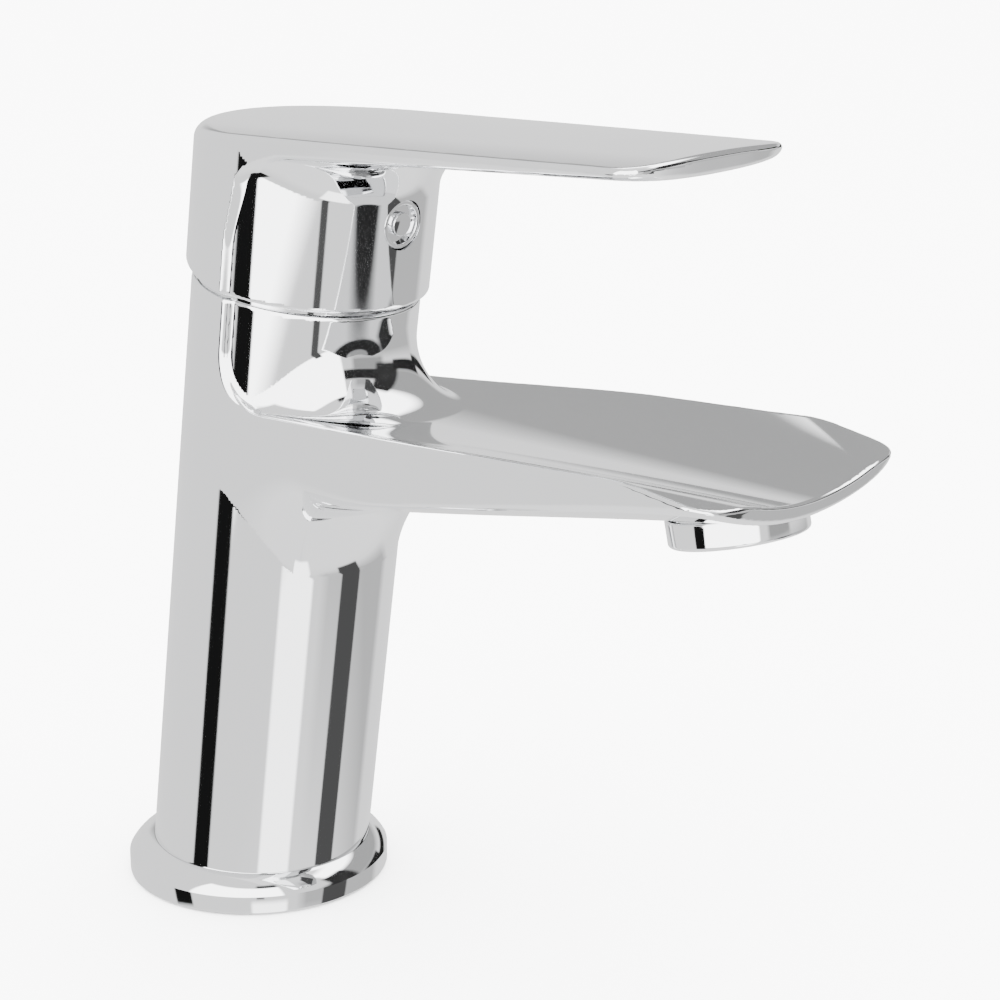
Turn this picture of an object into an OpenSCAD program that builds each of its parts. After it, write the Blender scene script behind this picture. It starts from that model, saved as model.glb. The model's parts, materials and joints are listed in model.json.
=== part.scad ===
// Single-lever basin mixer. The origin is the centre of the base on the deck, +Z is up and the
// spout points towards -Y. The body leans forward, so most parts are placed along its leaning axis:
// a height given as "along the axis" is measured from the origin up that axis.

/* [Body] */
// Diameter of the leaning body
body_d = 45; // [44:0.5:47]
// Lean of the body towards the spout
lean = 8.5; // [6:0.5:9]
// Height of the body's rim along the axis
rim_h = 129.5; // [127:0.5:132]
// Diameter of the base ring
base_ring_d = 54.4; // [53:0.2:58]
// Height of the base ring where it meets the body
base_ring_h = 8; // [7:0.5:10]

/* [Spout] */
// Distance from the origin to the spout's lip
spout_reach = 140.5; // [138:0.5:150]
// Greatest width of the spout
spout_w = 56.6; // [54:0.2:60]
// Distance from the origin to the centre of the aerator's outlet
aerator_reach = 124; // [120:1:126]
// Height of the aerator's outlet above the deck
aerator_z = 97.8; // [97:0.1:99]
// Forward tilt of the water jet
jet_tilt = 12.7; // [10:0.1:14]
// Diameter of the visible aerator ring
aerator_d = 24.6; // [24:0.1:25]

/* [Lever] */
// Diameter of the lever's cap
cap_d = 47.6; // [47:0.2:49]
// Gap between the body's rim and the lever's cap
cap_gap = 1; // [0.8:0.1:1.5]
// Distance from the origin to the lever's tip
lever_reach = 118.5; // [115:0.5:130]
// Height of the lever's top over the body
lever_z = 160.2; // [158:0.1:161]
// Rise of the lever's top towards its tip
lever_rise = 1.5; // [1:0.1:2.5]
// Largest lift of the lever, which its cap is relieved for
lever_lift = 20; // [15:1:20]

/* [Cartridge] */
// Diameter of the ceramic cartridge
cartridge_d = 35; // [35:0.1:35.1]
// Height of the cartridge's seat along the axis
seat_h = 104; // [103.5:0.5:104.5]
// Width of the square spindle
spindle_w = 8; // [7.5:0.5:8.5]

/* [Deck fixing] */
// Thickness of the deck between the base and the clamp
deck_t = 20; // [10:1:30]
// Diameter of the mounting stud
stud_d = 8; // [8:1:8]
// Diameter of the threads for the supply hoses
inlet_d = 9; // [8.8:0.1:9.2]

/* [Hidden] */

$fn = 96;
far = 200;

chrome = [0.80, 0.81, 0.83];
steel = [0.66, 0.67, 0.69];
brass = [0.78, 0.63, 0.34];
rubber = [0.08, 0.08, 0.09];
ceramic = [0.93, 0.92, 0.88];
plastic = [0.88, 0.88, 0.86];
dark_plastic = [0.30, 0.31, 0.33];

body_r = body_d / 2;
cap_r = cap_d / 2;

// Base: the body and the ring stand on a gasket that stands a little proud of the ring.
gasket_t = 1.5;
gasket_r = 25.4;
gasket_hole_r = 17.5;
ring_lift = 0.3;
ring_side_h = 4.2;
ring_dome_x = 20;

// Inside the body: an open foot, a web with the threads, a mixing chamber and the cartridge's bore.
foot_r = 19;
web_z = 14;
chamber_low = 31;
chamber_high = 97.5;
chamber_r = 19;
bore_r = cartridge_d / 2 + 0.1;
nut_bore_r = 19.4;
nut_bore_low = 121;
inlet_x = 8;
inlet_y = -3;
inlet_depth = 12;
stud_y = 11;
stud_top = 26;
port_x = 7.5;
port_y = 2.5;
port_r = 3;
port_wall = 2;
outlet_y = -8;
outlet_r = 4;

// Spout: a trough between two raised rims, with flat sides and a rounded belly.
spout_root = 10;
spout_nose = 13;
nose_power = 4.5;
spout_flare = 5.8;
root_inset = 6;
root_cover = 0.8;
rim_z = 106.7;
rim_slope = 0.055;
trough_root = 3;
trough_lip = 7;
trough_fillet = 15;
belly_fillet = 8;
edge_z = 98;
edge_t = 67;
edge_slope = 0.19;
belly_root = 50;
belly_root_z = 89;
belly_lip_z = 104;
belly_power = 1.05;
side_tuck = 0.93;
channel_w = 26;

// Aerator, measured up its own axis from the outlet.
collar_h = 4.9;
thread_r = 11;
thread_top = 6.2;
shell_bore_r = 9.6;
lip_bore_r = 8.8;
lip_h = 0.8;
mesh_t = 0.4;
insert_top = 5.6;

// Cartridge, measured along the axis from the seat.
housing_low = seat_h + 3;
housing_wall_r = 15.2;
base_top = seat_h + 5;
fixed_top = base_top + 3;
film = 0.02;
moving_top = fixed_top + film + 3;
toe_h = moving_top + 3.1;
toe_r = 2.4;
shank_w = 3.6;
carrier_top = moving_top + 4.4;
rotor_low = carrier_top + 0.2;
rotor_step = rotor_low + 2;
housing_top = rotor_step + 3;
neck_r = 12;
rotor_top = seat_h + 26;
pivot_h = seat_h + 21;
pin_r = 1.6;
moving_r = 11;
seal_r = 4.6;
seal_h = 1.8;
base_lift = 0.3;

// Cover dome: a shell centred on the spindle's pin, so that the tilting cap never meets it.
dome_r = 21.8;
dome_t = 1.5;
dome_base_r = 21.2;
dome_top = pivot_h + 11;

// Lever
cap_low = rim_h + cap_gap;
skirt_r = cap_r - 1.45;
skirt_top = cap_low + 9;
hollow_r = 17;
hollow_top = cap_low + 22.5;
boss_r = 10.5;
boss_low = cap_low + 5.5;
screw_h = cap_low + 16.5;
screw_r = 2.5;
plug_r = 4.7;
plug_depth = 4;
relief = 0.3 * lever_lift;
cap_round = 5.5;
blade_root = 24;
blade_nose = 10;
blade_power = 4;
blade_narrow = 1.2;
blade_edge_t = 2.5;
blade_root_t = 6;
blade_tip_t = 3.2;
blade_fillet = 8;
blade_crown = 1.1;

// Deck clamp
plate_t = 2.5;
clamp_gasket_t = 3;
clamp_r = 25;
slot_w = 28;
slot_end = 4.6;
nut_af = 13;
nut_t = 6.5;
stud_low = -deck_t - 26;

// ---- Helpers -------------------------------------------------------------------------------

// Places its children on the leaning axis, at a height along it.
module on_axis(h = 0) {
    rotate([lean, 0, 0])
        translate([0, 0, h])
            children();
}

// A plain tube standing on its lower end.
module tube(r, bore, h) {
    difference() {
        cylinder(r = r, h = h);
        translate([0, 0, -1])
            cylinder(r = bore, h = h + 2);
    }
}

// A block that fills all of the space below z, for trimming.
module below(z) {
    translate([-far, -far, z - far])
        cube([2 * far, 2 * far, far]);
}

// A closed solid through a list of rings that all have the same number of points.
module loft(rings) {
    n = len(rings[0]);
    last = len(rings) - 1;
    points = [for (ring = rings) for (p = ring) p];
    sides = [for (k = [0 : last - 1]) for (i = [0 : n - 1])
             let (j = (i + 1) % n)
             each [[k * n + i, k * n + j, (k + 1) * n + j],
                   [k * n + i, (k + 1) * n + j, (k + 1) * n + i]]];
    start = [for (i = [0 : n - 1]) n - 1 - i];
    end = [for (i = [0 : n - 1]) last * n + i];
    polyhedron(points = points, faces = concat([start], sides, [end]), convexity = 6);
}

// Height of a concave fillet of radius r at distance d from the wall that it climbs.
function fillet(r, d) = d >= r ? 0 : d <= 0 ? r : r - sqrt(r * r - (r - d) * (r - d));

// Distance of a point from the surface of a leaning cylinder, near the height z.
function off_wall(x, t, z, r) = sqrt(x * x + pow(t - z * tan(lean), 2)) - r;

// ---- Spout surface, by distance t forward of the origin and x across ---------------------------

function spout_side(t) = spout_w / 2 - spout_flare * pow((spout_reach - spout_nose - t) / 106, 2);
function spout_half(t) =
    t < 22 ? spout_side(22) - root_inset * (22 - t) / 12 :
    t < spout_reach - spout_nose ? spout_side(t) :
    spout_w / 2 * pow(1 - pow((t - spout_reach + spout_nose) / spout_nose, nose_power), 1 / nose_power);
function trough_depth(t) = trough_root + (trough_lip - trough_root) * pow(t / spout_reach, 2);
function trough_blend(x) = max(3, trough_fillet * (1 - pow(x / 26, 2)));
function spout_top(x, t) =
    rim_z + rim_slope * t - trough_depth(t) * (1 - pow(2 * x / spout_w, 2))
    + fillet(trough_blend(x), off_wall(x, t, rim_z, body_r - root_cover));
function edge_height(t) = edge_z + edge_slope * (t - edge_t);
function belly_height(t) = belly_lip_z - (belly_lip_z - belly_root_z)
    * pow((spout_reach - t) / (spout_reach - belly_root), belly_power);
function belly_half(t) = side_tuck * (t < spout_reach - spout_nose ? spout_half(t) : spout_w / 2);
function spout_low(x, t) =
    belly_height(t) + (edge_height(t) - belly_height(t)) * (1 - sqrt(max(0, 1 - pow(x / belly_half(t), 2))))
    - fillet(belly_fillet, off_wall(x, t, belly_root_z, body_r - root_cover));

spout_across = 16;
spout_ts = concat([for (t = [spout_root : 6 : spout_reach - spout_nose - 1]) t],
                  [for (a = [0 : 8.5 : 85]) spout_reach - spout_nose * (1 - sin(a))]);

function spout_ring(t) = concat(
    [for (i = [0 : spout_across]) let (x = spout_half(t) * (2 * i / spout_across - 1))
     [x, -t, spout_top(x, t)]],
    [for (i = [0 : spout_across])
     let (x = side_tuck * spout_half(t) * sin(90 - 180 * i / spout_across))
     [x, -t, spout_low(x, t)]]);

// Places its children on the aerator's outlet, with +Z up the jet's axis.
module on_outlet(h = 0) {
    translate([0, -aerator_reach, aerator_z])
        rotate([-jet_tilt, 0, 0])
            translate([0, 0, h])
                children();
}

// ---- Blade surface ------------------------------------------------------------------------------

function blade_side(t) = cap_r - blade_narrow * pow((t - blade_root) / 66, 2);
function blade_half(t) =
    t < lever_reach - blade_nose ? blade_side(t) :
    blade_side(lever_reach - blade_nose)
    * pow(1 - pow((t - lever_reach + blade_nose) / blade_nose, blade_power), 1 / blade_power);
function blade_top(t) = lever_z + (t - 20) * tan(lever_rise);
function blade_crowned(x, t) = blade_top(t) - blade_crown * pow(x / cap_r, 2);
function blade_mid_t(t) = blade_root_t + (blade_tip_t - blade_root_t) * (t - blade_root)
    / (lever_reach - blade_root);
function blade_low(x, t) =
    blade_top(t) - blade_edge_t
    - (blade_mid_t(t) - blade_edge_t) * (1 - pow(x / blade_side(t), 2))
    - fillet(blade_fillet, off_wall(x, t, lever_z - blade_root_t, cap_r - root_cover));

blade_across = 12;
blade_ts = concat([for (t = [blade_root : 5 : lever_reach - blade_nose - 1]) t],
                  [for (a = [0 : 9.5 : 85.5]) lever_reach - blade_nose * (1 - sin(a))]);

function blade_ring(t) = concat(
    [for (i = [0 : blade_across]) let (x = blade_half(t) * (2 * i / blade_across - 1))
     [x, -t, blade_crowned(x, t)]],
    [for (i = [0 : blade_across]) let (x = 0.97 * blade_half(t) * (1 - 2 * i / blade_across))
     [x, -t, blade_low(x, t)]]);

// ---- Body and base ------------------------------------------------------------------------------

// The two threads and the passages that lead from them up to the cartridge's seat.
module inlet_passages() {
    for (side = [-1, 1]) {
        translate([side * inlet_x, inlet_y, web_z - 1])
            cylinder(d = inlet_d, h = inlet_depth + 1);
        on_axis(web_z + inlet_depth - 3)
            translate([side * port_x, port_y, 0])
                cylinder(r = port_r, h = far / 2 - 8);
    }
}

// The mixing chamber, with the cast pipes of the two inlets left standing in it.
module chamber() {
    on_axis(chamber_low)
        difference() {
            cylinder(r = chamber_r, h = chamber_high - chamber_low);
            for (side = [-1, 1])
                translate([side * port_x, port_y, -1])
                    cylinder(r = port_r + port_wall, h = far);
        }
}

// The water's way from the chamber through the spout to the aerator.
module spout_channel() {
    rotate([90, 0, 90])
        translate([0, 0, -channel_w / 2])
            linear_extrude(channel_w)
                polygon([[-24, 84], [-52, 92.5], [-112, 102.2], [-127, 104.2], [-127, 105.4],
                         [-112, 104.6], [-52, 99.5], [-34, 93.3], [-24, 92.2]]);
}

module body_casting() {
    color(chrome)
        difference() {
            union() {
                on_axis(-10)
                    cylinder(r = body_r, h = rim_h + 10);
                loft([for (t = spout_ts) spout_ring(t)]);
            }
            below(gasket_t);
            intersection() {
                on_axis(-20)
                    cylinder(r = foot_r, h = 60);
                below(web_z);
            }
            chamber();
            inlet_passages();
            translate([0, stud_y, web_z - 1])
                cylinder(d = stud_d + 0.04, h = stud_top - web_z + 1.1);
            on_axis(chamber_high - 1)
                translate([0, outlet_y, 0])
                    cylinder(r = outlet_r, h = 20);
            on_axis(seat_h)
                cylinder(r = bore_r, h = 60);
            on_axis(nut_bore_low)
                cylinder(r = nut_bore_r, h = 60);
            spout_channel();
            on_outlet(-10)
                cylinder(r = aerator_d / 2 + 0.1, h = 10 + collar_h);
            on_outlet(0)
                cylinder(r = thread_r, h = thread_top);
        }
}

module base_ring() {
    r = base_ring_d / 2;
    dome_z = (pow(r - ring_dome_x, 2) + pow(ring_side_h, 2)
              - pow(body_r - ring_dome_x, 2) - pow(base_ring_h, 2)) / (2 * (ring_side_h - base_ring_h));
    dome_r = sqrt(pow(r - ring_dome_x, 2) + pow(ring_side_h - dome_z, 2));
    color(chrome)
        difference() {
            rotate_extrude()
                intersection() {
                    translate([ring_dome_x, ring_lift])
                        square([r - ring_dome_x, far / 10]);
                    translate([ring_dome_x, dome_z])
                        circle(r = dome_r);
                }
            translate([0, 0, -1])
                cylinder(r = gasket_r + 0.1, h = gasket_t + 1);
            on_axis(-20)
                cylinder(r = body_r + 0.05, h = 60);
        }
}

module base_gasket() {
    color(rubber)
        tube(gasket_r, gasket_hole_r, gasket_t);
}

// ---- Deck fixing --------------------------------------------------------------------------------

module mounting_stud() {
    color(steel)
        translate([0, stud_y, stud_low])
            difference() {
                cylinder(d = stud_d, h = stud_top - stud_low);
                translate([-4, -0.6, -1])
                    cube([8, 1.2, 2.5]);
            }
}

// A horseshoe: a disc with a hole for the stud and an open slot that lets the hoses pass.
module horseshoe(h) {
    difference() {
        cylinder(r = clamp_r, h = h);
        translate([0, stud_y, -1])
            cylinder(d = stud_d + 0.6, h = h + 2);
        translate([-slot_w / 2, -far, -1])
            cube([slot_w, far + slot_end, h + 2]);
    }
}

module clamp_gasket() {
    color(rubber)
        translate([0, 0, -deck_t - clamp_gasket_t])
            horseshoe(clamp_gasket_t);
}

module clamp_plate() {
    color(steel)
        translate([0, 0, -deck_t - clamp_gasket_t - plate_t])
            horseshoe(plate_t);
}

module clamp_nut() {
    color(brass)
        translate([0, stud_y, -deck_t - clamp_gasket_t - plate_t - nut_t])
            difference() {
                cylinder(d = nut_af / cos(30), h = nut_t, $fn = 6);
                translate([0, 0, -1])
                    cylinder(d = stud_d + 0.04, h = nut_t + 2);
            }
}

// ---- Cartridge ----------------------------------------------------------------------------------

// Its children at the hot, cold and outlet ports.
module at_ports() {
    for (side = [-1, 1])
        translate([side * port_x, port_y, 0])
            children();
    translate([0, outlet_y, 0])
        children();
}

// The chromed cover over the nut, which shows in the gap under the lever's cap.
module cover_dome() {
    color(chrome)
        on_axis()
            difference() {
                intersection() {
                    translate([0, 0, pivot_h])
                        sphere(r = dome_r);
                    translate([0, 0, rim_h])
                        cylinder(r = dome_base_r, h = dome_top - rim_h);
                }
                translate([0, 0, pivot_h])
                    sphere(r = dome_r - dome_t);
            }
}

module cartridge_nut() {
    low = housing_top;
    high = rim_h + 1.5;
    color(brass)
        on_axis(low)
            difference() {
                union() {
                    cylinder(r = nut_bore_r - 0.05, h = rim_h - low - 0.5);
                    cylinder(r = 17.2, h = high - low, $fn = 8);
                }
                translate([0, 0, -1])
                    cylinder(r = 13.4, h = high - low + 2);
            }
}

module cartridge_housing() {
    color(plastic)
        on_axis(housing_low)
            difference() {
                cylinder(r = cartridge_d / 2, h = housing_top - housing_low);
                translate([0, 0, -1])
                    cylinder(r = housing_wall_r, h = rotor_step + 0.2 - housing_low + 1);
                cylinder(r = neck_r + 0.06, h = 60);
            }
}

module cartridge_base() {
    color(dark_plastic)
        on_axis(seat_h + base_lift)
            difference() {
                union() {
                    cylinder(r = cartridge_d / 2, h = housing_low - seat_h - base_lift);
                    cylinder(r = housing_wall_r - 0.1, h = base_top - seat_h - base_lift);
                }
                translate([0, 0, -1])
                    at_ports()
                        cylinder(r = port_r, h = 20);
                translate([0, 0, -1])
                    at_ports()
                        cylinder(r = seal_r, h = 1 + seal_h - base_lift);
            }
}

module port_seals() {
    color(rubber)
        on_axis(seat_h)
            at_ports()
                tube(seal_r, port_r, seal_h);
}

module fixed_disc() {
    color(ceramic)
        on_axis(base_top)
            difference() {
                cylinder(r = housing_wall_r - 0.2, h = fixed_top - base_top);
                translate([0, 0, -1])
                    at_ports()
                        cylinder(r = port_r, h = 10);
            }
}

module moving_disc() {
    h = moving_top - fixed_top - film;
    color(ceramic)
        on_axis(fixed_top + film)
            difference() {
                cylinder(r = moving_r, h = h);
                translate([0, -1.5, -1])
                    cylinder(r = 5.5, h = h);
            }
}

module disc_carrier() {
    color(dark_plastic)
        on_axis(moving_top)
            difference() {
                cylinder(r = moving_r + 0.2, h = carrier_top - moving_top);
                translate([-spindle_w / 2 - 0.2, -toe_r - 0.1, 0.6])
                    cube([spindle_w + 0.4, 2 * toe_r + 0.2, 10]);
            }
}

module cartridge_rotor() {
    color(plastic)
        on_axis()
            difference() {
                union() {
                    translate([0, 0, rotor_low])
                        cylinder(r = housing_wall_r - 0.4, h = rotor_step - rotor_low);
                    translate([0, 0, rotor_low])
                        cylinder(r = neck_r, h = rotor_top - rotor_low);
                }
                translate([-spindle_w / 2 - 0.25, -9.5, rotor_low - 1])
                    cube([spindle_w + 0.5, 19, 60]);
                translate([-14, 0, pivot_h])
                    rotate([0, 90, 0])
                        cylinder(r = pin_r + 0.01, h = 28);
                translate([0, 0, rotor_step + 0.9])
                    tube(neck_r + 1, neck_r - 1.3, 1.4);
            }
}

module rotor_o_ring() {
    color(rubber)
        on_axis(rotor_step + 0.9)
            tube(neck_r, neck_r - 1.3, 1.4);
}

module spindle_pin() {
    color(steel)
        on_axis(pivot_h)
            translate([-10.4, 0, 0])
                rotate([0, 90, 0])
                    cylinder(r = pin_r, h = 20.8);
}

// The square spindle: a flat fork on the pin, a rounded toe in the disc carrier, and the square
// that the lever is screwed to.
module spindle() {
    color(brass)
        on_axis()
            difference() {
                union() {
                    translate([-spindle_w / 2, 0, pivot_h])
                        rotate([0, 90, 0])
                            cylinder(r = 4.5, h = spindle_w);
                    translate([-spindle_w / 2, -shank_w / 2, toe_h])
                        cube([spindle_w, shank_w, pivot_h - toe_h]);
                    translate([-spindle_w / 2, 0, toe_h])
                        rotate([0, 90, 0])
                            cylinder(r = toe_r, h = spindle_w);
                    translate([-spindle_w / 2, -spindle_w / 2, pivot_h])
                        cube([spindle_w, spindle_w, hollow_top - pivot_h - 1]);
                }
                translate([-10, 0, pivot_h])
                    rotate([0, 90, 0])
                        cylinder(r = pin_r + 0.05, h = 20);
            }
}

// ---- Lever --------------------------------------------------------------------------------------

// A puck with a rounded top edge, square to the lever's top, that trims the leaning cap.
module cap_trim() {
    centre_h = (lever_z - cap_round) / cos(lean);
    translate([0, -centre_h * sin(lean), lever_z - cap_round])
        rotate([-lever_rise, 0, 0]) {
            rotate_extrude() {
                translate([cap_r + 0.6 - cap_round, 0])
                    circle(r = cap_round);
                translate([0, -far])
                    square([cap_r + 0.6 - cap_round, far + cap_round]);
            }
            translate([0, 0, -far / 2])
                cylinder(r = far / 4, h = far / 2);
        }
}

// The cap's outside: a leaning cylinder with a small chamfer at its lower edge.
module cap_outside() {
    chamfer_h = 1.6;
    chamfer_r = 1;
    intersection() {
        on_axis(cap_low)
            union() {
                cylinder(r1 = cap_r - chamfer_r, r2 = cap_r, h = chamfer_h);
                translate([0, 0, chamfer_h])
                    cylinder(r = cap_r, h = 60);
            }
        cap_trim();
    }
}

// The cap's inside: a skirt that passes over the body's rim as the lever lifts, and a narrower
// hollow around the boss.
module cap_hollow() {
    on_axis(cap_low) {
        difference() {
            union() {
                translate([0, 0, -1])
                    cylinder(r = skirt_r, h = skirt_top - cap_low + 1);
                cylinder(r = hollow_r, h = hollow_top - cap_low);
            }
            translate([0, 0, boss_low - cap_low])
                cylinder(r = boss_r, h = 60);
        }
        translate([-spindle_w / 2, -spindle_w / 2, -1])
            cube([spindle_w, spindle_w, hollow_top - cap_low]);
    }
}

module lever() {
    color(chrome)
        difference() {
            union() {
                cap_outside();
                loft([for (t = blade_ts) blade_ring(t)]);
            }
            cap_hollow();
            on_axis(cap_low)
                rotate([relief, 0, 0])
                    translate([-far, 0, -far])
                        cube([2 * far, far, far]);
            on_axis(screw_h)
                rotate([90, 0, 0]) {
                    cylinder(r = screw_r, h = 60);
                    translate([0, 0, cap_r - plug_depth])
                        cylinder(r = plug_r + 0.05, h = 20);
                }
        }
}

module grub_screw() {
    color(steel)
        on_axis(screw_h)
            rotate([90, 0, 0])
                translate([0, 0, spindle_w / 2])
                    difference() {
                        cylinder(r = screw_r, h = 6);
                        translate([0, 0, 3])
                            cylinder(d = 2.9, h = 10, $fn = 6);
                    }
}

// The plug over the screw: a stepped button with a raised ring.
module index_plug() {
    color(chrome)
        on_axis(screw_h)
            rotate([90, 0, 0])
                translate([0, 0, cap_r - plug_depth])
                    difference() {
                        cylinder(r = plug_r, h = plug_depth - 0.5);
                        translate([0, 0, plug_depth - 1.3])
                            tube(plug_r - 0.9, plug_r - 2.4, 10);
                    }
}

// ---- Aerator ------------------------------------------------------------------------------------

module aerator_shell() {
    color(chrome)
        on_outlet()
            difference() {
                union() {
                    cylinder(d = aerator_d, h = collar_h);
                    cylinder(r = thread_r - 0.03, h = insert_top);
                }
                translate([0, 0, lip_h])
                    cylinder(r = shell_bore_r, h = 20);
                translate([0, 0, -1])
                    cylinder(r = lip_bore_r, h = 20);
            }
}

// A perforated cup that breaks the jet up.
module aerator_insert() {
    holes = 10;
    color(plastic)
        on_outlet(lip_h + mesh_t)
            difference() {
                cylinder(r = shell_bore_r - 0.05, h = insert_top - lip_h - mesh_t);
                translate([0, 0, -1])
                    cylinder(r = shell_bore_r - 1.4, h = 3.2);
                for (i = [0 : holes - 1])
                    rotate([0, 0, i * 360 / holes])
                        translate([6.4, 0, -1])
                            cylinder(r = 1, h = 20);
            }
}

module aerator_mesh() {
    bars = 3;
    pitch = 2.4;
    color(steel)
        on_outlet(lip_h) {
            tube(shell_bore_r - 0.05, shell_bore_r - 0.9, mesh_t);
            intersection() {
                cylinder(r = shell_bore_r - 0.5, h = mesh_t);
                for (i = [-bars : bars]) {
                    translate([-20, i * pitch - 0.2, 0])
                        cube([40, 0.4, mesh_t]);
                    translate([i * pitch - 0.2, -20, 0])
                        cube([0.4, 40, mesh_t]);
                }
            }
        }
}

module aerator_gasket() {
    color(rubber)
        on_outlet(insert_top)
            tube(thread_r - 0.1, shell_bore_r - 2, thread_top - insert_top);
}

body_casting();
base_ring();
base_gasket();
mounting_stud();
clamp_gasket();
clamp_plate();
clamp_nut();
cover_dome();
cartridge_nut();
cartridge_housing();
cartridge_base();
port_seals();
fixed_disc();
moving_disc();
disc_carrier();
cartridge_rotor();
rotor_o_ring();
spindle_pin();
spindle();
lever();
grub_screw();
index_plug();
aerator_shell();
aerator_insert();
aerator_mesh();
aerator_gasket();
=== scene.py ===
"""The looks of a single-lever basin mixer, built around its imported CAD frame.

The body and the lever are polished castings. Each is described by a field that is negative inside
it, in the frame's own millimetres, and meshed on the field's zero surface with exact normals.
"""
import json
import math

import bmesh
import bpy
import numpy as np
from mathutils import Matrix, Vector

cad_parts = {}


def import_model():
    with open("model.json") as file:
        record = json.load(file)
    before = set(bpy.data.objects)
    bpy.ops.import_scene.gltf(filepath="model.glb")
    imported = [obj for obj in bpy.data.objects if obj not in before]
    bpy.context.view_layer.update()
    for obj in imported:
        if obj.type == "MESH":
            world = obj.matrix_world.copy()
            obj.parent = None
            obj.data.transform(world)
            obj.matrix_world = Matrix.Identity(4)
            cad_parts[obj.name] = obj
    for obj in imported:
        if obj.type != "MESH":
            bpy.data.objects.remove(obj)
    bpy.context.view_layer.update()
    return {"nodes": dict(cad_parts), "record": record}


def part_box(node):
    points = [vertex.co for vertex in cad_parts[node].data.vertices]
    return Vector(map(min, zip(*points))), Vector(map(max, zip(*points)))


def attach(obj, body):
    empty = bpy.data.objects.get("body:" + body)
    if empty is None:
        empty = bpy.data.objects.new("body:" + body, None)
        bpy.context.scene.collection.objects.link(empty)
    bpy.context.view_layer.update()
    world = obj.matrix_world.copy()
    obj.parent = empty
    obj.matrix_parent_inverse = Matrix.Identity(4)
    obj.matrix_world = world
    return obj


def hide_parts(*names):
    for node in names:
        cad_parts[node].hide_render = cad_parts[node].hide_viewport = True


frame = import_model()

MM = 0.001

# ---- Driving sizes, in millimetres as in the CAD -------------------------------------------------

LEAN = math.radians(8.5)
SIN, COS = math.sin(LEAN), math.cos(LEAN)
RIM = 129.5          # top of the body, along the leaning axis
BODY_R = 22.5
BASE_Z = 1.5
CREASE = 1.4         # how far ahead of the axis the ribbons at the sides reach
RECESS = 1.3         # how far the body's front lies inside its ribbons

CAP_R = 23.8
CAP_LOW = RIM + 1
CAP_RECESS = 0.9
SKIRT_LEAN = math.tan(math.radians(6))

LIP = 140.5          # the spout's reach, from the origin
NOSE = 13
NOSE_POWER = 4.5
SPOUT_HALF = 28.3
ROOT_HALF = 22.5
RIM_Z = 106.7
RIM_SLOPE = 0.055
RIM_EDGE_R = 1.4
LIP_EDGE_R = 0.7
KEEL_LIP_Z = 104.6

LEVER_Z = 160.2
LEVER_RISE = math.tan(math.radians(1.5))
LEVER_TIP = 118.5
BLADE_ROOT = 24
BLADE_NOSE = 10
BLADE_POWER = 4
BLADE_CROWN = 1.1
SCREW_H = 147        # height of the lever's screw and of its plug, along the axis

OUTLET = Vector((0, -124, 97.8))
JET_TILT = math.radians(12.7)
SHARP = 1e-2         # the radius of an edge that stays sharp

# ---- Fields --------------------------------------------------------------------------------------


def round_max(a, b, r):
    """The overlap of two fields, with its edge rounded to radius r."""
    return np.minimum(-r, np.maximum(a, b)) + np.hypot(np.maximum(a + r, 0), np.maximum(b + r, 0))


def round_min(a, b, r):
    """The union of two fields, with a fillet of radius r."""
    return np.maximum(r, np.minimum(a, b)) - np.hypot(np.maximum(r - a, 0), np.maximum(r - b, 0))


def smooth(q):
    """0 below q = 0, 1 above q = 1, and an S-curve between."""
    q = np.clip(q, 0, 1)
    return q * q * (3 - 2 * q)


def along(t, z):
    """Distance along the leaning axis."""
    return t * SIN + z * COS


def ahead(t, z):
    """Distance forward of the leaning axis."""
    return t * COS - z * SIN


def widening(t):
    """0 at the spout's root and 1 where it has its full width."""
    return smooth((t - 15) / 72)


def spout_half(t):
    return ROOT_HALF + (SPOUT_HALF - ROOT_HALF) * widening(t)


def rim_height(t):
    return RIM_Z + RIM_SLOPE * t


def trough(x, t):
    """Height of the trough's floor, which deepens toward the lip."""
    depth = 3 + 4 * (t / LIP) ** 2
    return rim_height(t) - depth * (1 - (x / SPOUT_HALF) ** 2)


def edge_height(t):
    """Height of the edge between the spout's side and its belly."""
    return 98 + 0.19 * (t - 67) - 0.00125 * np.maximum(t - 110, 0) ** 2


def keel_height(t):
    """Height of the belly's middle line."""
    return KEEL_LIP_Z - 15.6 * (np.maximum(LIP - t, 0) / 90.5) ** 1.05


def belly(x, t, half):
    """Height of the belly, and how much its slope stretches a height into a distance."""
    keel = keel_height(t)
    rise = edge_height(t) - keel
    slope = 2 * rise * x / half**2
    return keel + rise * (x / half) ** 2, np.sqrt(1 + slope**2)


def plan(x, t, side, half, tip, nose, power):
    """Distance from a tongue's outline seen from above: its side, and a rounded nose."""
    across = np.abs(x) / half
    forward = np.maximum(t - tip + nose, 0) / nose
    reach = np.maximum((across**power + forward**power) ** (1 / power), 1e-6)
    slope = np.hypot((across / reach) ** (power - 1) / half, (forward / reach) ** (power - 1) / nose)
    front = (reach - 1) / np.maximum(slope, 0.5 / half)
    return np.where(t > tip - nose, front, np.abs(x) - side)


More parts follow.
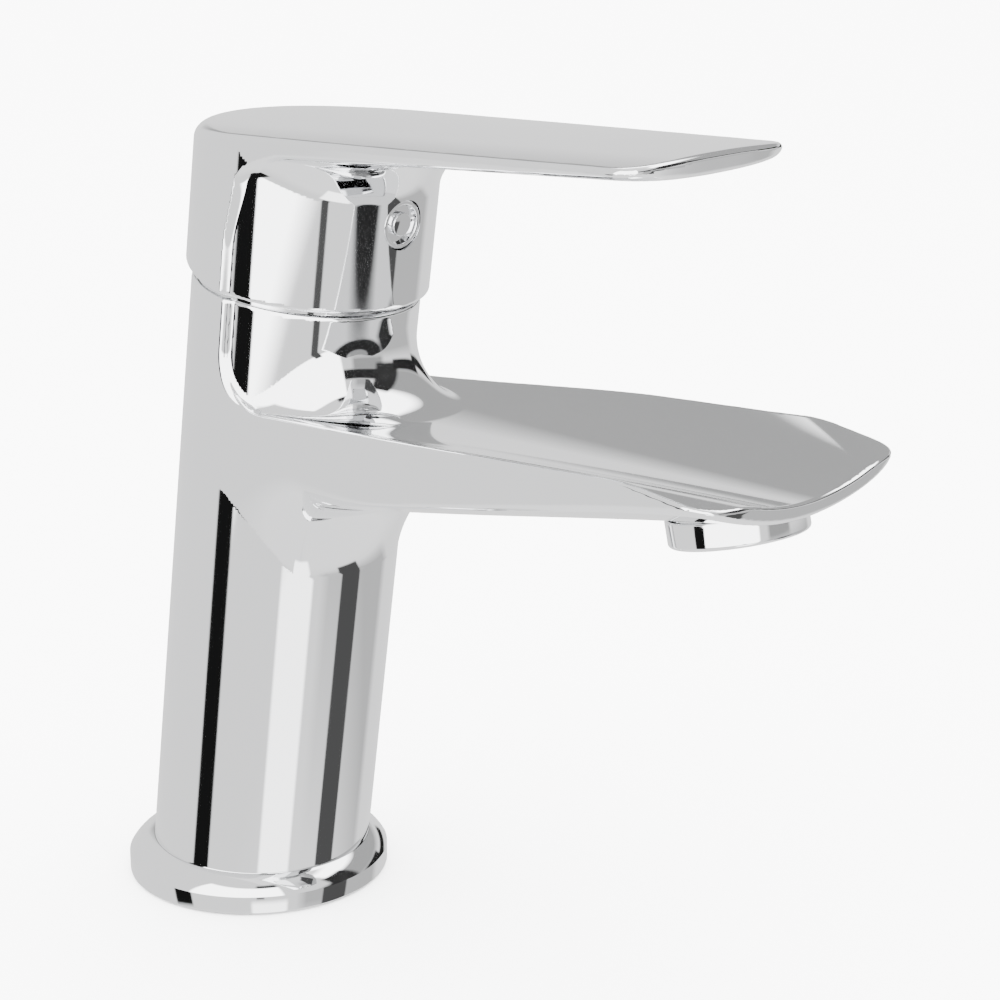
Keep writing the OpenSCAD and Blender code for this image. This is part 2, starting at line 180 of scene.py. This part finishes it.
def body_field(x, y, z):
    """The body and the spout: an outer skin, open at the top of the spout, around a recessed core."""
    t = -y
    s, v = along(t, z), ahead(t, z)
    cylinder = np.hypot(x, v) - BODY_R
    half = spout_half(t)
    tuck = 0.18 * widening(t) * np.clip(rim_height(t) - z, 0, 12)
    side = plan(x, t, half, SPOUT_HALF, LIP, NOSE, NOSE_POWER) + tuck
    low, scale = belly(x, t, half)
    root = 1 - smooth((t - 22) / 40)
    under = round_min(cylinder, (low - z) / scale, 7 + 8 * root)
    spout = np.maximum(round_max(side, under, 1 + 9 * root), -v)
    outer = round_min(cylinder, spout, SHARP + 4 * smooth((v - 2) / 12) * smooth((z - low) / 10))
    top = (z - trough(x, t)) / np.sqrt(1 + (x / 70) ** 2)
    edge = RIM_EDGE_R + (LIP_EDGE_R - RIM_EDGE_R) * smooth((t - 110) / 20)
    ribbon = round_max(outer, round_min(v - CREASE, top, 11), edge)
    core = np.hypot(x * BODY_R / (BODY_R - RECESS), v) - BODY_R
    core = np.maximum(core, np.maximum(100 - z, -v))
    middle = np.maximum(0, 1 - (x / 20) ** 4)
    fillet = (1 + 14 * middle) * smooth((z - 100) / 6) + SHARP
    solid = round_min(ribbon, core, fillet)
    solid = round_max(solid, s - RIM, 0.8)
    return np.maximum(solid, BASE_Z - z)


def blade_half(t):
    return CAP_R - 1.2 * ((t - BLADE_ROOT) / 66) ** 2


def blade_top(x, t):
    return LEVER_Z + (t - 20) * LEVER_RISE - BLADE_CROWN * (x / CAP_R) ** 2


def lever_field(x, y, z):
    """The cap and the blade: an outer skin, open under the blade, around a recessed core."""
    t = -y
    s, v = along(t, z), ahead(t, z)
    cap = np.hypot(x, v) - CAP_R
    half = np.where(t > BLADE_ROOT, blade_half(t), CAP_R)
    nose_half = blade_half(LEVER_TIP - BLADE_NOSE)
    drop = np.maximum(blade_top(x, t) - 1 - z, 0)
    tuck = 0.45 * smooth((t - 10) / 50) * drop
    tongue = np.maximum(plan(x, t, half, nose_half, LEVER_TIP, BLADE_NOSE, BLADE_POWER) + tuck, -v)
    top = z - blade_top(x, t)
    depth = 5 - 2.5 * (t - BLADE_ROOT) / 95 + 1.4 * (1 - (x / CAP_R) ** 2)
    under = LEVER_Z + (t - 20) * LEVER_RISE - depth - z
    outer = np.minimum(cap, tongue)
    ribbon = round_max(outer, round_min(v - CREASE, under, 5), 0.9)
    core = np.maximum(np.hypot(x * CAP_R / (CAP_R - CAP_RECESS), v) - CAP_R, -v)
    fillet = 1.2 + 2.5 * smooth((z - 138) / 14) + 6 * np.maximum(0, 1 - (x / 22) ** 4)
    solid = np.maximum(round_min(ribbon, core, fillet), outer)
    solid = round_max(solid, top, 1 + 1.5 * smooth((2 - v) / 14))
    foot = CAP_LOW + SKIRT_LEAN * np.maximum(-v, 0) - s
    return round_max(solid, foot, 0.8)


# ---- Meshing a field -----------------------------------------------------------------------------


def gradient(field, p, h=0.02):
    """The field's slope at each point, by central differences."""
    out = np.empty_like(p)
    for axis in range(3):
        step = np.zeros(3)
        step[axis] = h
        out[:, axis] = (field(*(p + step).T) - field(*(p - step).T)) / (2 * h)
    return out


def settle(field, p, limit, rounds=5):
    """Moves points onto the field's zero surface."""
    for _ in range(rounds):
        g = gradient(field, p)
        move = g * (field(*p.T) / np.maximum((g * g).sum(1), 1e-6))[:, None]
        size = np.linalg.norm(move, axis=1, keepdims=True)
        p = p - move * np.minimum(1, limit / np.maximum(size, 1e-9))
    return p


def surface(field, low, high, step):
    """Surface nets: the points and the quads of the field's zero surface."""
    axes = [np.arange(a, b + step, step) for a, b in zip(low, high)]
    grid = np.empty([len(a) for a in axes], dtype=np.float32)
    for i, x in enumerate(axes[0]):
        y, z = np.meshgrid(axes[1], axes[2], indexing="ij")
        grid[i] = field(np.full_like(y, x), y, z)
    inside = grid < 0
    corners = [(i, j, k) for i in (0, 1) for j in (0, 1) for k in (0, 1)]
    size = np.array(grid.shape) - 1

    def corner(array, c):
        return array[c[0]:c[0] + size[0], c[1]:c[1] + size[1], c[2]:c[2] + size[2]]

    count = sum(corner(inside, c).astype(np.int8) for c in corners)
    cells = np.argwhere((count > 0) & (count < 8))
    index = np.full(size, -1)
    index[tuple(cells.T)] = np.arange(len(cells))
    total, hits = np.zeros((len(cells), 3)), np.zeros(len(cells))
    for a in corners:
        for axis in range(3):
            if a[axis]:
                continue
            b = tuple(1 if n == axis else c for n, c in enumerate(a))
            fa = grid[tuple((cells + a).T)]
            fb = grid[tuple((cells + b).T)]
            cross = (fa < 0) != (fb < 0)
            share = np.where(cross, fa / np.where(cross, fa - fb, 1), 0)
            point = cells + np.array(a, float)
            point[:, axis] += share
            total += point * cross[:, None]
            hits += cross
    points = np.array(low) + total / hits[:, None] * step
    quads = []
    for axis in range(3):
        u, w = (axis + 1) % 3, (axis + 2) % 3
        here = [slice(None)] * 3
        here[axis] = slice(0, -1)
        there = [slice(None)] * 3
        there[axis] = slice(1, None)
        edges = np.argwhere(inside[tuple(here)] != inside[tuple(there)])
        starts_inside = inside[tuple(edges.T)]
        ring = []
        for du, dw in ((-1, -1), (0, -1), (0, 0), (-1, 0)):
            cell = edges.copy()
            cell[:, u] += du
            cell[:, w] += dw
            ring.append(index[tuple(cell.T)])
        ring = np.array(ring).T
        quads.append(np.where(starts_inside[:, None], ring, ring[:, ::-1]))
    return points, np.concatenate(quads)


def even_out(field, points, quads, limit, rounds=3):
    """Spreads the points evenly over the surface."""
    a = np.concatenate([quads[:, i] for i in range(4)])
    b = np.concatenate([quads[:, (i + 1) % 4] for i in range(4)])
    for _ in range(rounds):
        total, count = np.zeros_like(points), np.zeros(len(points))
        for i, j in ((a, b), (b, a)):
            np.add.at(total, i, points[j])
            np.add.at(count, i, 1)
        points = settle(field, (points + total / count[:, None]) / 2, limit, 2)
    return points


def new_object(name, mesh):
    obj = bpy.data.objects.new(name, mesh)
    bpy.context.scene.collection.objects.link(obj)
    return obj


def field_object(name, field, low, high, step):
    points, quads = surface(field, low, high, step)
    points = settle(field, points, step)
    points = even_out(field, points, quads, step)
    points = settle(field, points, step)
    mesh = bpy.data.meshes.new(name)
    mesh.from_pydata((points * MM).tolist(), [], quads.tolist())
    mesh.update()
    return new_object(name, mesh)


def exact_normals(obj, field, sharp=35):
    """Shades the field's own skin by the field's exact normals, and leaves the cut faces to Blender."""
    mesh = obj.data
    mesh.shade_smooth()
    mesh.set_sharp_from_angle(angle=math.radians(sharp))
    points = np.empty(len(mesh.vertices) * 3)
    mesh.vertices.foreach_get("co", points)
    points = points.reshape(-1, 3) / MM
    on_skin = np.abs(field(*points.T)) < 0.004
    normals = gradient(field, points)
    normals /= np.maximum(np.linalg.norm(normals, axis=1, keepdims=True), 1e-9)
    loops = np.empty(len(mesh.loops), dtype=np.int32)
    mesh.loops.foreach_get("vertex_index", loops)
    starts = np.empty(len(mesh.polygons), dtype=np.int32)
    mesh.polygons.foreach_get("loop_total", starts)
    face_of_loop = np.repeat(np.arange(len(starts)), starts)
    face_normals = np.empty(len(mesh.polygons) * 3)
    mesh.polygons.foreach_get("normal", face_normals)
    face_normals = face_normals.reshape(-1, 3)[face_of_loop]
    wanted = normals[loops]
    agree = on_skin[loops] & ((wanted * face_normals).sum(1) > 0.8)
    wanted[~agree] = 0
    mesh.normals_split_custom_set(wanted.tolist())


# ---- Turned pieces and cutters -------------------------------------------------------------------


def turned(name, profile, place, segments=128):
    """A closed solid of revolution: profile is a closed list of (radius, height), placed by a matrix."""
    mesh = bpy.data.meshes.new(name)
    bm = bmesh.new()
    rings = []
    for r, h in profile:
        if r < 1e-6:
            rings.append([bm.verts.new(place @ Vector((0, 0, h)) * MM)] * segments)
            continue
        ring = []
        for i in range(segments):
            a = 2 * math.pi * i / segments
            ring.append(bm.verts.new(place @ Vector((r * math.cos(a), r * math.sin(a), h)) * MM))
        rings.append(ring)
    for k, ring in enumerate(rings):
        after = rings[(k + 1) % len(rings)]
        for i in range(segments):
            j = (i + 1) % segments
            corners = list(dict.fromkeys((ring[i], ring[j], after[j], after[i])))
            if len(corners) > 2:
                bm.faces.new(corners)
    bmesh.ops.recalc_face_normals(bm, faces=bm.faces)
    bm.to_mesh(mesh)
    bm.free()
    mesh.shade_smooth()
    mesh.set_sharp_from_angle(angle=math.radians(40))
    return new_object(name, mesh)


def on_axis(h=0.0):
    """The place of a turned piece at a height along the leaning axis."""
    return Matrix.Rotation(LEAN, 4, "X") @ Matrix.Translation((0, 0, h))


def on_outlet(h=0.0):
    """The place of a turned piece at a height along the jet's axis, upward from the outlet."""
    return Matrix.Translation(OUTLET) @ Matrix.Rotation(-JET_TILT, 4, "X") @ Matrix.Translation((0, 0, h))


def on_screw(h=0.0):
    """The place of a turned piece at a height along the lever's screw, which faces forward."""
    return on_axis(SCREW_H) @ Matrix.Rotation(math.radians(90), 4, "X") @ Matrix.Translation((0, 0, h))


def rod(name, r, low, high, place, segments=96):
    return turned(name, [(0, low), (r, low), (r, high), (0, high)], place, segments)


def cut(obj, *cutters):
    """Takes the cutters' shapes out of a mesh, and removes them."""
    for cutter in cutters:
        modifier = obj.modifiers.new("cut", "BOOLEAN")
        modifier.operation = "DIFFERENCE"
        modifier.solver = "EXACT"
        modifier.object = cutter
        with bpy.context.temp_override(object=obj, active_object=obj):
            bpy.ops.object.modifier_apply(modifier=modifier.name)
        mesh = cutter.data
        bpy.data.objects.remove(cutter)
        bpy.data.meshes.remove(mesh)


def arc(cx, cy, r, start, end, steps=8):
    """Points on an arc, with its angles in degrees."""
    angles = [math.radians(start + (end - start) * i / steps) for i in range(steps + 1)]
    return [(cx + r * math.cos(a), cy + r * math.sin(a)) for a in angles]


# ---- Materials -----------------------------------------------------------------------------------


def principled(name, **values):
    material = bpy.data.materials.new(name)
    material.use_nodes = True
    shader = material.node_tree.nodes["Principled BSDF"]
    for key, value in values.items():
        shader.inputs[key.replace("_", " ")].default_value = value
    return material, material.node_tree.nodes, material.node_tree.links, shader


def noise(nodes, links, scale, detail=3.0, stretch=(1, 1, 1)):
    """Object-space noise, so that it stays on the piece as it moves."""
    place = nodes.new("ShaderNodeTexCoord")
    mapping = nodes.new("ShaderNodeMapping")
    mapping.inputs["Scale"].default_value = stretch
    texture = nodes.new("ShaderNodeTexNoise")
    texture.inputs["Scale"].default_value = scale
    texture.inputs["Detail"].default_value = detail
    links.new(place.outputs["Object"], mapping.inputs["Vector"])
    links.new(mapping.outputs["Vector"], texture.inputs["Vector"])
    return texture.outputs["Fac"]


def ramp(nodes, links, source, low, high):
    """Spreads a noise's middle part over the range from low to high."""
    node = nodes.new("ShaderNodeMapRange")
    node.inputs["From Min"].default_value = 0.3
    node.inputs["From Max"].default_value = 0.7
    node.inputs["To Min"].default_value = low
    node.inputs["To Max"].default_value = high
    links.new(source, node.inputs["Value"])
    return node.outputs["Result"]


def bump(nodes, links, shader, source, strength, distance):
    node = nodes.new("ShaderNodeBump")
    node.inputs["Strength"].default_value = strength
    node.inputs["Distance"].default_value = distance
    links.new(source, node.inputs["Height"])
    links.new(node.outputs["Normal"], shader.inputs["Normal"])


def chrome_material():
    colour = (0.83, 0.835, 0.845, 1)
    material, nodes, links, shader = principled("chrome_plate", Base_Color=colour, Metallic=1.0)
    smudge = noise(nodes, links, 45, 4)
    links.new(ramp(nodes, links, smudge, 0.025, 0.06), shader.inputs["Roughness"])
    bump(nodes, links, shader, noise(nodes, links, 1800, 2), 0.02, 0.00002)
    return material


def plain_material(name, colour, rough, scale, metallic=0.0, grain=0.15, depth=0.0001, stretch=(1, 1, 1)):
    """A moulded, turned or cast finish: colour and roughness vary a little, over a fine grain."""
    material, nodes, links, shader = principled(name, Metallic=metallic)
    source = noise(nodes, links, scale, 4, stretch)
    mix = nodes.new("ShaderNodeMix")
    mix.data_type = "RGBA"
    mix.inputs[6].default_value = (*[c * (1 - grain) for c in colour], 1)
    mix.inputs[7].default_value = (*[min(1, c * (1 + grain)) for c in colour], 1)
    links.new(ramp(nodes, links, source, 0, 1), mix.inputs["Factor"])
    links.new(mix.outputs[2], shader.inputs["Base Color"])
    links.new(ramp(nodes, links, source, rough * 0.8, rough * 1.2), shader.inputs["Roughness"])
    bump(nodes, links, shader, noise(nodes, links, scale * 6, 3, stretch), 0.3, depth)
    return material


MATERIALS = {
    "chrome": chrome_material(),
    "steel": plain_material("bright_steel", (0.58, 0.59, 0.60), 0.3, 300, 1.0, 0.08, 0.00005, (1, 1, 8)),
    "brass": plain_material("turned_brass", (0.72, 0.53, 0.25), 0.28, 260, 1.0, 0.1, 0.00005, (1, 1, 8)),
    "rubber": plain_material("black_rubber", (0.022, 0.022, 0.024), 0.65, 220, 0.0, 0.3),
    "ceramic": plain_material("lapped_ceramic", (0.87, 0.86, 0.82), 0.16, 400, 0.0, 0.03, 0.00002),
    "white_plastic": plain_material("white_acetal", (0.78, 0.78, 0.76), 0.4, 350, 0.0, 0.04),
    "grey_plastic": plain_material("grey_acetal", (0.16, 0.165, 0.175), 0.45, 350, 0.0, 0.1),
}


def finish_piece(obj, slot):
    obj.data.materials.clear()
    obj.data.materials.append(MATERIALS[slot])


# ---- Pieces --------------------------------------------------------------------------------------


def body_piece():
    low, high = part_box("body_casting")
    pad = 1.2
    low = [c / MM - pad for c in low]
    high = [c / MM + pad for c in high]
    body = field_object("mixer_body", body_field, low, high, 0.5)
    seat = [(0, 104), (17.6, 104), (17.6, 121), (19.4, 121), (19.4, 150), (0, 150)]
    aerator_seat = [(0, -10), (12.4, -10), (12.4, 4.9), (11, 4.9), (11, 6.2), (0, 6.2)]
    foot = turned("foot", [(0, -6), (19, -6), (19, 40), (0, 40)], on_axis())
    cut(foot, rod("above_web", 60, 14, 90, Matrix()))
    cut(body,
        foot,
        rod("hot", 4.5, 12, 26, Matrix.Translation((-8, -3, 0))),
        rod("cold", 4.5, 12, 26, Matrix.Translation((8, -3, 0))),
        rod("stud", 4.01, 12, 26, Matrix.Translation((0, 11, 0))),
        turned("seat", seat, on_axis()),
        turned("aerator_seat", aerator_seat, on_outlet()))
    exact_normals(body, body_field)
    finish_piece(body, "chrome")
    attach(body, "base")
    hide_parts("body_casting")


def lever_piece():
    low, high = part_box("lever")
    pad = 1.2
    low = [c / MM - pad for c in low]
    high = [c / MM + pad for c in high]
    lever = field_object("mixer_lever", lever_field, low, high, 0.45)
    hollow = [(0, 120), (22.35, 120), (22.35, 139.5), (17, 139.5), (17, 153), (10.5, 153),
              (10.5, 136), (0, 136)]
    cut(lever,
        turned("hollow", hollow, on_axis()),
        rod("socket", 4 * math.sqrt(2), 134, 152, on_axis() @ Matrix.Rotation(math.radians(45), 4, "Z"), 4),
        rod("screw_hole", 2.51, 3.9, 22, on_screw(), 48),
        rod("plug_hole", 4.8, CAP_R - 4, 40, on_screw(), 96))
    exact_normals(lever, lever_field)
    finish_piece(lever, "chrome")
    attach(lever, "handle")
    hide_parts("lever")


def base_ring_piece():
    outer = 27.2
    profile = [(21.3, 0.3)] + arc(outer - 0.5, 0.8, 0.5, -90, 0, 5)
    profile += arc(20, 0.1, 8.285, 29.5, 78, 16) + [(21.3, 7.9)]
    ring = turned("mixer_base_ring", profile, Matrix(), 192)
    cut(ring, rod("body_hole", BODY_R + 0.05, -20, 40, on_axis(), 192))
    ring.data.shade_smooth()
    ring.data.set_sharp_from_angle(angle=math.radians(30))
    finish_piece(ring, "chrome")
    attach(ring, "base")
    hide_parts("base_ring")


def aerator_piece():
    profile = [(8.8, 0.35)] + arc(9.15, 0.35, 0.35, 180, 270, 4) + arc(11.5, 0.8, 0.8, -90, 0, 8)
    profile += arc(11.9, 4.5, 0.4, 0, 90, 4)
    profile += [(10.97, 4.9), (10.97, 5.6), (9.6, 5.6), (9.6, 0.8), (8.8, 0.8)]
    shell = turned("mixer_aerator", profile, on_outlet(), 192)
    finish_piece(shell, "chrome")
    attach(shell, "base")
    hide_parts("aerator_shell")


def plug_piece():
    front = 3.5
    profile = [(0, 0), (4.7, 0)] + arc(4.4, front - 0.3, 0.3, 0, 90, 4)
    profile += arc(4.0, front - 0.2, 0.2, 90, 180, 3)
    profile += [(3.8, 2.5), (2.3, 2.5)] + arc(2.1, front - 0.2, 0.2, 0, 90, 3) + [(0, front)]
    plug = turned("mixer_plug", profile, on_screw(CAP_R - 4), 96)
    finish_piece(plug, "chrome")
    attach(plug, "handle")
    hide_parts("index_plug")


def carried_over():
    """Gives every CAD node that stays its own finish."""
    slots = {row["node"]: row["material_slot"] for row in frame["record"]["subparts"]}
    for node, obj in frame["nodes"].items():
        material = MATERIALS[slots[node]]
        if not obj.material_slots:
            obj.data.materials.append(material)
        for slot in obj.material_slots:
            slot.material = material


# ---- Studio --------------------------------------------------------------------------------------


def floor():
    """A plain pale floor, which the chrome itself doesn't reflect."""
    mesh = bpy.data.meshes.new("floor")
    half = 3.0
    corners = [(-half, -half, 0), (half, -half, 0), (half, half, 0), (-half, half, 0)]
    mesh.from_pydata(corners, [], [(0, 1, 2, 3)])
    obj = new_object("floor", mesh)
    material = principled("pale_floor", Base_Color=(0.9, 0.9, 0.9, 1), Roughness=0.7)[0]
    obj.data.materials.append(material)
    obj.visible_glossy = False


def camera():
    azimuth, elevation = math.radians(-47.888), math.radians(16.307)
    back = Vector((math.sin(azimuth) * math.cos(elevation), -math.cos(azimuth) * math.cos(elevation),
                   math.sin(elevation)))
    place = Vector((-322.23, -360.41, 220.65)) * MM
    data = bpy.data.cameras.new("camera")
    data.lens = 88.31
    data.sensor_width = 36
    data.clip_start = 0.01
    obj = bpy.data.objects.new("camera", data)
    obj.matrix_world = Matrix.Translation(place) @ back.to_track_quat("Z", "Y").to_matrix().to_4x4()
    bpy.context.scene.collection.objects.link(obj)
    bpy.context.scene.camera = obj


BACKDROP = 12.0      # the plain white that everything but a reflection sees
# The studio as the chrome sees it. Each row is a card or softbox: its azimuth and elevation, its half
# width and half height, its soft edge, all in degrees, and its brightness. Later rows cover earlier ones.
TENT = 1.5
CARDS = [
    ("floor_white", 60, -70, 180, 30, 14, 1.8),
    ("back_grey", 10, 30, 55, 16, 8, 0.55),
    ("top_white", 0, 52, 58, 9, 6, 7.0),
    ("rear_grey", -75, 6, 20, 9, 6, 0.5),
    ("front_grey", -50, -20, 45, 16, 10, 0.75),
    ("dark_left", -86, 22, 28, 8, 4, 0.03),
    ("dark_middle", -50, 26, 14, 20, 5, 0.04),
    ("dark_front", -22, 9, 20, 6, 3, 0.02),
    ("dark_right", 8, 3, 16, 4.5, 3, 0.02),
    ("dark_high", -124, 52, 14, 14, 5, 0.06),
    ("side_dark", -61, -30, 13, 12, 2, 0.1),
    ("low_white", -124, -42, 16, 13, 3, 4.5),
    ("left_white", -154, 19, 44, 39, 3, 7.0),
    ("thin_dark", -132, -21, 3.5, 6, 1.5, 0.12),
    ("left_dark", 155, -18, 9, 14, 2, 0.012),
]


def world():
    """A pale tent with a few cards; the camera and the floor see plain white."""
    scene_world = bpy.data.worlds.new("studio")
    bpy.context.scene.world = scene_world
    scene_world.use_nodes = True
    nodes, links = scene_world.node_tree.nodes, scene_world.node_tree.links

    def math_node(operation, *values, clamp=False):
        node = nodes.new("ShaderNodeMath")
        node.operation = operation
        node.use_clamp = clamp
        for n, value in enumerate(values):
            if isinstance(value, bpy.types.NodeSocket):
                links.new(value, node.inputs[n])
            else:
                node.inputs[n].default_value = value
        return node.outputs["Value"]

    place = nodes.new("ShaderNodeTexCoord")
    split = nodes.new("ShaderNodeSeparateXYZ")
    links.new(place.outputs["Generated"], split.inputs["Vector"])
    azimuth = math_node("ARCTAN2", split.outputs["Y"], split.outputs["X"])
    elevation = math_node("ARCSINE", split.outputs["Z"])

    def inside(angle, centre, half, soft, around):
        off = math_node("SUBTRACT", angle, math.radians(centre))
        if around:
            off = math_node("WRAP", off, math.pi, -math.pi)
        off = math_node("ABSOLUTE", off)
        off = math_node("SUBTRACT", math.radians(half + soft / 2), off)
        return math_node("DIVIDE", off, math.radians(soft), clamp=True)

    light = TENT
    for _, turn, rise, half_width, half_height, soft, value in CARDS:
        across = inside(azimuth, turn, half_width, soft, True)
        mask = math_node("MULTIPLY", across, inside(elevation, rise, half_height, soft, False))
        gain = math_node("SUBTRACT", value, light)
        light = math_node("MULTIPLY_ADD", mask, gain, light)
    seen = nodes["Background"]
    seen.inputs["Color"].default_value = (1, 1, 1, 1)
    links.new(light, seen.inputs["Strength"])
    plain = nodes.new("ShaderNodeBackground")
    plain.inputs["Color"].default_value = (1, 1, 1, 1)
    plain.inputs["Strength"].default_value = BACKDROP
    path = nodes.new("ShaderNodeLightPath")
    mix = nodes.new("ShaderNodeMixShader")
    links.new(path.outputs["Is Glossy Ray"], mix.inputs["Fac"])
    links.new(plain.outputs["Background"], mix.inputs[1])
    links.new(seen.outputs["Background"], mix.inputs[2])
    links.new(mix.outputs["Shader"], nodes["World Output"].inputs["Surface"])


def lamp(name, place, aim, size, power):
    data = bpy.data.lights.new(name, "AREA")
    data.shape = "RECTANGLE"
    data.size, data.size_y = size
    data.energy = power
    obj = bpy.data.objects.new(name, data)
    direction = Vector(place) - Vector(aim)
    obj.matrix_world = Matrix.Translation(place) @ direction.to_track_quat("Z", "Y").to_matrix().to_4x4()
    bpy.context.scene.collection.objects.link(obj)


camera()
floor()
world()
lamp("top_light", (0.2, -0.1, 1.2), (0, -0.05, 0.1), (0.9, 0.9), 1)
body_piece()
lever_piece()
base_ring_piece()
aerator_piece()
plug_piece()
carried_over()
